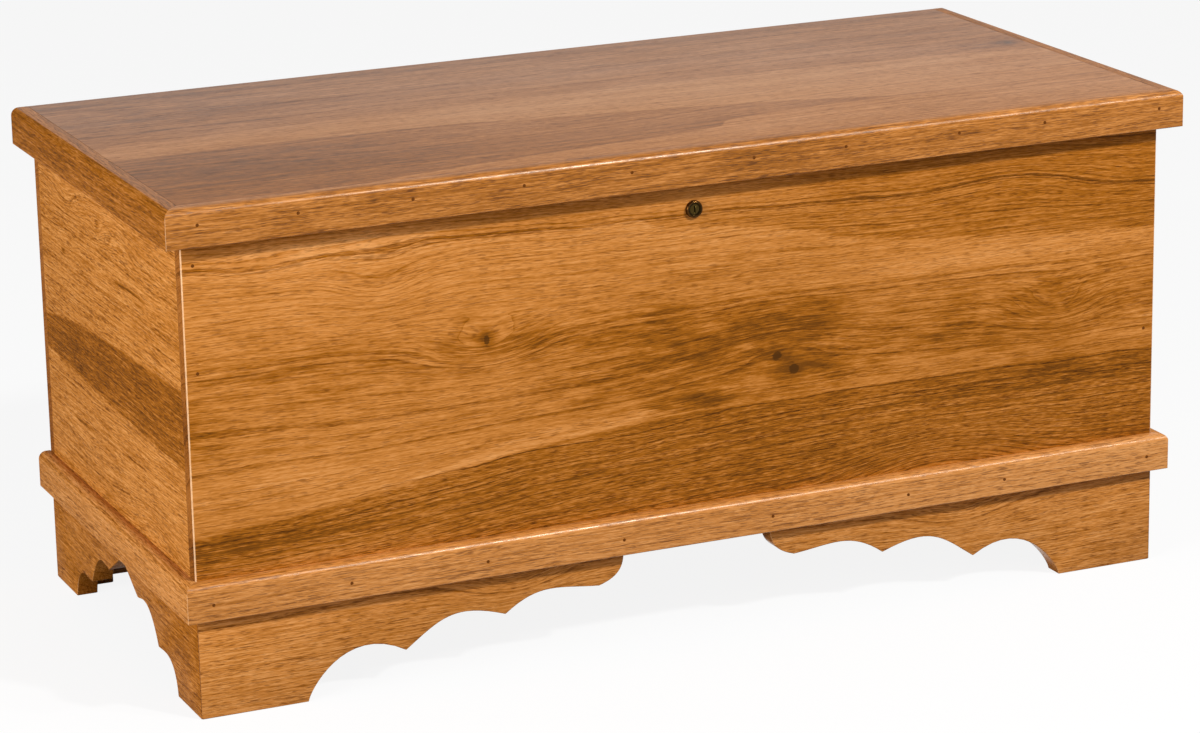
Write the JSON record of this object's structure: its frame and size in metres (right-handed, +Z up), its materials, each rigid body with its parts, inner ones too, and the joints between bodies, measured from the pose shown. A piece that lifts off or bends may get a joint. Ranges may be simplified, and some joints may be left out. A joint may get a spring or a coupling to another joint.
{
  "type": "blanket chest",
  "caption": "Low solid-wood blanket chest with an overhanging hinged lid, a round front lock, a base moulding and scalloped bracket feet.",
  "frame": {"origin": "on the floor under the centre of the chest's outline, lid overhangs included", "axes": "+Z up, +X along the chest to the right of a person who faces its front, the lock side faces -Y"},
  "size_m": [1.092, 0.502, 0.508],
  "materials": {
    "case_wood": "honey-brown hickory, satin varnish",
    "lid_wood": "paler honey-brown hickory, satin varnish",
    "lip_wood": "golden-brown hickory, satin varnish",
    "base_wood": "golden-brown hickory, satin varnish",
    "bracket_wood": "honey-brown hickory, satin varnish",
    "cedar": "bare red cedar",
    "block_wood": "rough bare wood",
    "dark_brass": "dark antique brass",
    "hinge_brass": "dull brass",
    "steel": "zinc plated"
  },
  "bodies": {
    "case": {"front_panel": "case_wood", "back_panel": "case_wood", "left_panel": "case_wood", "right_panel": "case_wood", "bottom_panel": "cedar", "base_moulding_front": "base_wood", "base_moulding_left": "base_wood", "base_moulding_right": "base_wood", "front_bracket_left": "bracket_wood", "front_bracket_right": "bracket_wood", "side_skirt_left": "bracket_wood", "side_skirt_right": "bracket_wood", "back_bracket_left": "bracket_wood", "back_bracket_right": "bracket_wood", "corner_block_front_left": "block_wood", "corner_block_front_right": "block_wood", "corner_block_back_left": "block_wood", "corner_block_back_right": "block_wood", "hinge_1_case_leaf": "hinge_brass", "hinge_1_pin": "steel", "hinge_1_case_screw_1": "hinge_brass", "hinge_1_case_screw_2": "hinge_brass", "hinge_1_case_screw_3": "hinge_brass", "hinge_2_case_leaf": "hinge_brass", "hinge_2_pin": "steel", "hinge_2_case_screw_1": "hinge_brass", "hinge_2_case_screw_2": "hinge_brass", "hinge_2_case_screw_3": "hinge_brass", "lock_body": "dark_brass", "lock_nut": "dark_brass"},
    "lid": {"lid_panel": "lid_wood", "lid_lip_front": "lip_wood", "lid_lip_left": "lip_wood", "lid_lip_right": "lip_wood", "hinge_1_lid_leaf": "hinge_brass", "hinge_1_lid_screw_1": "hinge_brass", "hinge_1_lid_screw_2": "hinge_brass", "hinge_1_lid_screw_3": "hinge_brass", "hinge_2_lid_leaf": "hinge_brass", "hinge_2_lid_screw_1": "hinge_brass", "hinge_2_lid_screw_2": "hinge_brass", "hinge_2_lid_screw_3": "hinge_brass", "strike_plate": "steel", "strike_screw_1": "steel", "strike_screw_2": "steel"},
    "lock_turning": {"lock_plug": "dark_brass", "lock_cam": "steel", "cam_screw": "steel"}
  },
  "joints": [
    {"name": "lid_hinge", "type": "hinge", "parent": "case", "child": "lid", "pos_m": [0, 0.2468, 0.48585], "axis": [-1, 0, 0], "range_deg": [0, 95]},
    {"name": "lock_turn", "type": "hinge", "parent": "case", "child": "lock_turning", "pos_m": [0, -0.22, 0.443], "axis": [0, 1, 0], "range_deg": [0, 90]}
  ]
}
